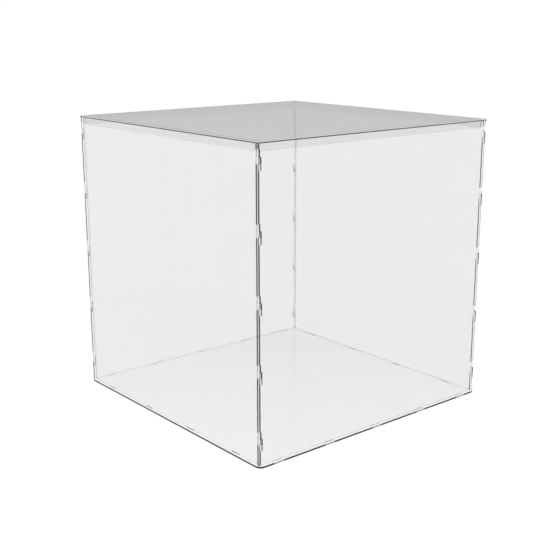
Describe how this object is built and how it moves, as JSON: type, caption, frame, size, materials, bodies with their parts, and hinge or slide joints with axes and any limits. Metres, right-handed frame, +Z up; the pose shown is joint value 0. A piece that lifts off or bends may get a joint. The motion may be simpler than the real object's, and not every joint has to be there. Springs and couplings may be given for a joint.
{
  "type": "acrylic display cube",
  "caption": "Clear acrylic display case, a hollow cube of flat sheets locked by hooks and tabs, with a lift-off lid.",
  "frame": {"origin": "middle of the underside of the base", "axes": "+Z up; -Y is the front, the wall that the side walls' hooks pass through; +X to the right seen from the front"},
  "size_m": [0.51, 0.51, 0.5],
  "materials": {
    "wall_acrylic": "clear polished acrylic sheet",
    "base_acrylic": "clear polished acrylic sheet",
    "lid_acrylic": "clear polished acrylic sheet",
    "strip_acrylic": "clear acrylic strip with bonded edge"
  },
  "bodies": {
    "case": {"base_panel": "base_acrylic", "front_wall": "wall_acrylic", "back_wall": "wall_acrylic", "left_wall": "wall_acrylic", "right_wall": "wall_acrylic"},
    "lid": {"lid_panel": "lid_acrylic", "lid_strip_front": "strip_acrylic", "lid_strip_back": "strip_acrylic", "lid_strip_left": "strip_acrylic", "lid_strip_right": "strip_acrylic"}
  },
  "joints": [
    {"name": "lid_lift", "type": "slide", "parent": "case", "child": "lid", "axis": [0, 0, 1], "range_m": [0, 0.3]}
  ]
}
